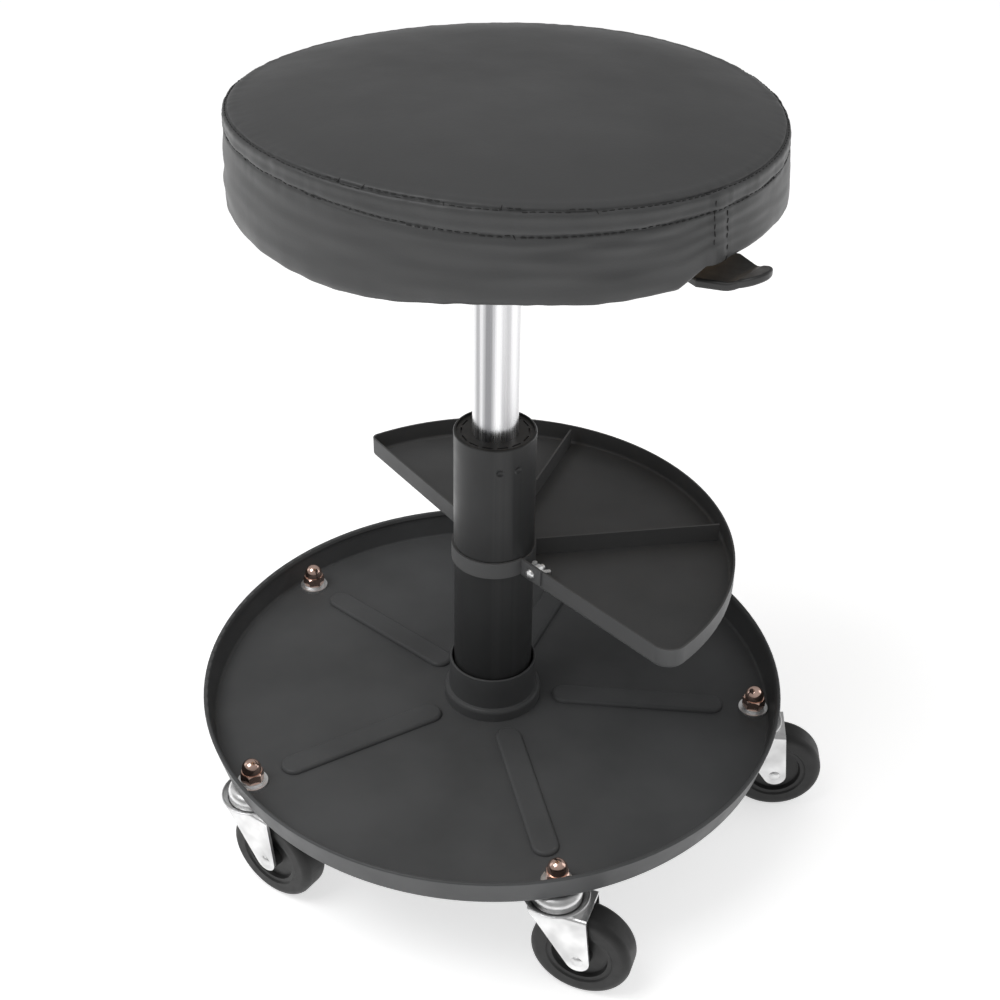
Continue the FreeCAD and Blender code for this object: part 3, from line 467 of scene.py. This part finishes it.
def sculpt(piece, along, section):
    """Sew the seams in, gather the fabric at them and wrinkle the skirt."""
    mesh = piece.data
    points = coords(mesh)
    outward = normals(mesh)
    run = np.empty(len(points))
    mesh.attributes["run"].data.foreach_get("value", run)
    turn = np.arctan2(points[:, 1] - SEAT_Y, points[:, 0] - SEAT_X)
    loop_x, loop_y = np.cos(turn) * SEAT_R, np.sin(turn) * SEAT_R
    heights = [h for _, h in section]
    seam = along[heights.index(SEAT_HIGH.z - TOP_SEAM)]
    lower = along[heights.index(SEAT_HIGH.z - LOWER_SEAM)]
    hem = along[int(np.argmin(heights))]
    from_seam, from_lower, to_hem = run - seam, run - lower, hem - run

    def around(size, row, seed):
        """Noise round the rim with features this long; row shifts it down the side."""
        return np.array([noise.noise(Vector((a / size, b / size, c + seed)))
                         for a, b, c in zip(loop_x, loop_y, np.broadcast_to(row, turn.shape))])

    # Grooves and rolls along the two seams, with the fabric gathered at their stitches.
    outside = bell(np.minimum(0, from_seam), 30 * MM) * (to_hem > -2 * MM)
    shift = np.zeros(len(points))
    shift -= 1.3 * MM * bell(from_seam, 0.9 * MM)
    shift += 0.55 * MM * bell(from_seam - 2.8 * MM, 1.9 * MM)
    shift += 0.35 * MM * bell(from_seam + 4.0 * MM, 2.6 * MM)
    tuck = around(4.5 * MM, run / (14 * MM), 0)
    shift += 0.55 * MM * tuck * np.exp(-np.abs(from_seam) / (4.5 * MM))
    shift -= 0.75 * MM * bell(from_lower, 0.8 * MM)
    shift += 0.28 * MM * bell(from_lower + 2.2 * MM, 1.5 * MM)
    shift += 0.30 * MM * tuck * np.exp(-np.abs(from_lower) / (4.0 * MM))
    band = (from_seam > 0) & (from_lower < 0)
    shift += 0.70 * MM * around(16 * MM, run / (9 * MM), 5) * band

    # Folds down the skirt, strongest at the front right, and gathers at the hem.
    skirt = np.clip(from_lower / (5 * MM), 0, 1) * np.clip(to_hem / (3 * MM), 0, 1)
    front_right = bell(np.degrees(turn) + 68, 38) + 0.55 * bell(np.degrees(turn) + 160, 40)
    folds = around(38 * MM, run / (5.2 * MM), 9)
    shift += (0.30 + 1.05 * front_right) * MM * folds * skirt
    shift += 0.8 * MM * around(60 * MM, run / (30 * MM), 14) * skirt
    gathers = around(8 * MM, run / (30 * MM), 21)
    shift += 0.45 * MM * gathers * np.exp(-np.abs(to_hem) / (7 * MM)) * (to_hem > -4 * MM)

    # The overlap where the skirt's ends meet: a raised strip between two stitch lines.
    past = (turn - math.radians(OVERLAP_ANGLE)) * SEAT_R
    lap = np.clip(from_seam / (1.5 * MM), 0, 1) * (to_hem > -2 * MM)
    edge = 1 / (1 + np.exp(np.clip(-past / (0.45 * MM), -30, 30)))
    far = 1 / (1 + np.exp(np.clip((past - OVERLAP_WIDTH) / (2.2 * MM), -30, 30)))
    shift += 0.9 * MM * edge * far * lap
    shift -= 0.5 * MM * bell(past - 1.0 * MM, 0.7 * MM) * lap
    shift -= 0.7 * MM * bell(past - OVERLAP_WIDTH + 1.4 * MM, 0.8 * MM) * lap
    points = points + outward * (shift * outside.clip(0, 1))[:, None]

    # The hem's droop, the lower seam's sag and the lean of the top.
    lowered = np.clip((run - lower) / (hem - lower), 0, 1) ** 1.5 * (run < hem + 9 * MM)
    droop = np.interp(np.degrees(turn), [at for at, _ in HEM_DROOP], [drop for _, drop in HEM_DROOP])
    points[:, 2] -= (droop * MM + 0.3 * MM * around(40 * MM, 0, 33)) * lowered
    near_lower = np.clip(1 - np.abs(from_lower) / (lower - seam), 0, 1)
    points[:, 2] -= sag(points[:, 0], points[:, 1]) * near_lower
    upper = 1 - np.clip((run - lower) / (hem - lower), 0, 1)
    points[:, 2] += upper * lean(points[:, 0], points[:, 1])
    set_coords(mesh, points)


def stitch_mesh(name, lines, pitch, length, radius):
    """One small capsule of thread for each stitch along each line of (point, normal)."""
    corners, faces = [], []
    sides, rings = 6, ((-1.0, 0.0), (-0.82, 0.75), (0.0, 1.0), (0.82, 0.75), (1.0, 0.0))
    for line in lines:
        travelled = 0.0
        for index in range(len(line) - 1):
            start, end = line[index][0], line[index + 1][0]
            step = (end - start).length
            travelled += step
            if travelled < pitch or step == 0:
                continue
            travelled -= pitch
            forward = (end - start).normalized()
            up = line[index][1].normalized()
            side = forward.cross(up).normalized()
            up = side.cross(forward)
            base = len(corners)
            for reach, width in rings:
                for k in range(sides):
                    a = 2 * math.pi * k / sides
                    offset = (side * math.cos(a) + up * math.sin(a)) * max(width, 0.05) * radius
                    corners.append(end + forward * reach * length / 2 + offset)
            for ring in range(len(rings) - 1):
                for k in range(sides):
                    a, b = base + ring * sides + k, base + ring * sides + (k + 1) % sides
                    faces.append((a, b, b + sides, a + sides))
            faces.append(tuple(base + k for k in reversed(range(sides))))
            faces.append(tuple(base + (len(rings) - 1) * sides + k for k in range(sides)))
    return new_piece(name, corners, faces, THREAD)


def surface_line(tree, spots, lift):
    """Drop spots onto the sewn surface."""
    found = []
    for spot in spots:
        place, normal, _, _ = tree.find_nearest(spot)
        found.append((place + normal * lift, normal))
    return found


def make_seat():
    """The sewn cover over its foam, and the stitches along its seams and overlap."""
    section = seat_section()
    piece, along = seat_sheet(section)
    swell(piece, section)
    piece.modifiers.new("finer", "SUBSURF").levels = 2
    apply_modifiers(piece)
    sculpt(piece, along, section)
    thick = piece.modifiers.new("sheet", "SOLIDIFY")
    thick.thickness = COVER_SHEET
    thick.offset = -1
    apply_modifiers(piece)
    smooth_shade(piece)
    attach(piece, "seat")
    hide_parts("seat_cover", "seat_foam")

    graph = bpy.context.evaluated_depsgraph_get()
    tree = BVHTree.FromObject(piece, graph)
    lines = []
    for radius, height, hang in ((SEAT_R - 3.4 * MM, SEAT_HIGH.z - TOP_SEAM, 0),
                                 (SEAT_R - 1.6 * MM, SEAT_HIGH.z - LOWER_SEAM, 1)):
        turns = [math.radians(fifth / 5) for fifth in range(5 * 360 + 1)]
        ring = [tilted(Vector((SEAT_X + radius * math.cos(angle),
                               SEAT_Y + radius * math.sin(angle), height)), 1, hang)
                for angle in turns]
        lines.append(surface_line(tree, ring, 0.12 * MM))
    for offset, top in ((1.0 * MM, TOP_SEAM + 1 * MM), (OVERLAP_WIDTH - 1.4 * MM, LOWER_SEAM)):
        angle = math.radians(OVERLAP_ANGLE) + offset / SEAT_R
        drop = SEAT_HIGH.z - top - SEAT_LOW.z - 1.5 * MM
        column = [tilted(Vector((SEAT_X + SEAT_R * math.cos(angle),
                                 SEAT_Y + SEAT_R * math.sin(angle),
                                 SEAT_HIGH.z - top - drop * i / 80)), 1 - i / 80)
                  for i in range(81)]
        lines.append(surface_line(tree, column, 0.15 * MM))
    thread = stitch_mesh("seat_stitches", lines, STITCH_PITCH, STITCH_LENGTH, THREAD_RADIUS)
    smooth_shade(thread)
    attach(thread, "seat")


def make_paddle():
    """The lever's grip with its end tipped upward where it clears the seat's hem."""
    source = frame["nodes"]["lever_paddle"]
    mesh = source.data.copy()
    mesh.transform(source.matrix_world)
    low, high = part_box("lever_paddle")
    along = Vector((low.x + high.x, low.y + high.y, 0)).normalized()
    start = Vector((SEAT_X, SEAT_Y, 0)).dot(along) + SEAT_R + 2.5 * MM
    shape = bmesh.new()
    shape.from_mesh(mesh)
    for step in range(4):
        whole = shape.verts[:] + shape.edges[:] + shape.faces[:]
        bmesh.ops.bisect_plane(shape, geom=whole, plane_co=along * (start + step * BEND_LENGTH / 3),
                               plane_no=along)
    for corner in shape.verts:
        past = max(0.0, corner.co.dot(along) - start)
        corner.co.z += PADDLE_RISE * past * min(1.0, past / BEND_LENGTH)
        corner.co -= along * 0.1 * past
    shape.to_mesh(mesh)
    shape.free()
    piece = bpy.data.objects.new("paddle_grip", mesh)
    bpy.context.scene.collection.objects.link(piece)
    smooth_shade(piece)
    mesh.set_sharp_from_angle(angle=math.radians(35))
    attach(piece, "lever")
    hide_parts("lever_paddle")


make_seat()
make_paddle()


# ---------------------------------------------------------------- studio

def soft_light(name, place, target, size, power, tall=None):
    """An area lamp at a place, turned to the target; square unless it is told how tall."""
    light = bpy.data.lights.new(name, "AREA")
    light.energy = power
    light.shape = "RECTANGLE"
    light.size = size
    light.size_y = tall or size
    lamp = bpy.data.objects.new(name, light)
    lamp.location = place
    lamp.rotation_euler = (Vector(target) - Vector(place)).to_track_quat("-Z", "Y").to_euler()
    bpy.context.scene.collection.objects.link(lamp)


def make_studio():
    """White paper floor, a soft sky that fades downward, and three area lamps."""
    floor = new_piece("floor", [(-9, -9, 0), (9, -9, 0), (9, 9, 0), (-9, 9, 0)],
                      [(0, 1, 2, 3)], None)
    paper = Finish("floor paper", specular=0.1)
    paper.colour(paper.blend(paper.noise(2, 2), (0.90, 0.90, 0.90), (0.93, 0.93, 0.93)))
    paper.rough(paper.noise(5, 2), 0.85, 0.95)
    paper.shader.inputs["Emission Color"].default_value = (1, 1, 1, 1)
    paper.shader.inputs["Emission Strength"].default_value = 0.6
    floor.data.materials.clear()
    floor.data.materials.append(paper.material)

    world = bpy.data.worlds.new("studio")
    world.use_nodes = True
    bpy.context.scene.world = world
    tree = world.node_tree
    background = tree.nodes["Background"]
    where = tree.nodes.new("ShaderNodeTexCoord")
    split = tree.nodes.new("ShaderNodeSeparateXYZ")
    tree.links.new(where.outputs["Generated"], split.inputs["Vector"])
    ramp = tree.nodes.new("ShaderNodeValToRGB")
    ramp.color_ramp.elements[0].color = (0.62, 0.62, 0.62, 1)
    ramp.color_ramp.elements[0].position = 0.0
    ramp.color_ramp.elements[1].color = (1.0, 1.0, 1.0, 1)
    ramp.color_ramp.elements[1].position = 0.9
    tree.links.new(split.outputs["Z"], ramp.inputs["Fac"])
    tree.links.new(ramp.outputs["Color"], background.inputs["Color"])
    background.inputs["Strength"].default_value = 0.40

    soft_light("key", (-0.9, -0.5, 2.0), (0, 0, 0.3), 1.2, 17)
    soft_light("left", (-1.9, 0.6, 0.8), (0, 0, 0.3), 0.9, 2, 1.5)
    soft_light("right", (1.9, 0.4, 0.9), (0, 0, 0.35), 0.9, 3.5, 1.5)


CAMERA_PLACE = (0, -0.815915, 0.783262)
CAMERA_LENS = 57.2814
CAMERA_PAN, CAMERA_PITCH, CAMERA_ROLL = 0.238, 34.011, 0.781


def make_camera():
    """The view from in front and above, looking along +Y."""
    data = bpy.data.cameras.new("camera")
    data.sensor_width = 36
    data.lens = CAMERA_LENS
    data.clip_start, data.clip_end = 0.05, 40
    camera = bpy.data.objects.new("camera", data)
    pan, pitch, roll = (math.radians(v) for v in (CAMERA_PAN, CAMERA_PITCH, CAMERA_ROLL))
    forward = Vector((math.sin(pan) * math.cos(pitch), math.cos(pan) * math.cos(pitch),
                      -math.sin(pitch)))
    right = Vector((math.cos(pan), -math.sin(pan), 0))
    up = right.cross(forward)
    rolled_right = right * math.cos(roll) + up * math.sin(roll)
    rolled_up = up * math.cos(roll) - right * math.sin(roll)
    axes = Matrix((rolled_right, rolled_up, -forward)).transposed()
    camera.matrix_world = Matrix.Translation(CAMERA_PLACE) @ axes.to_4x4()
    bpy.context.scene.collection.objects.link(camera)
    bpy.context.scene.camera = camera
    bpy.context.scene.view_settings.view_transform = "Standard"


make_studio()
make_camera()

bpy.context.view_layer.update()
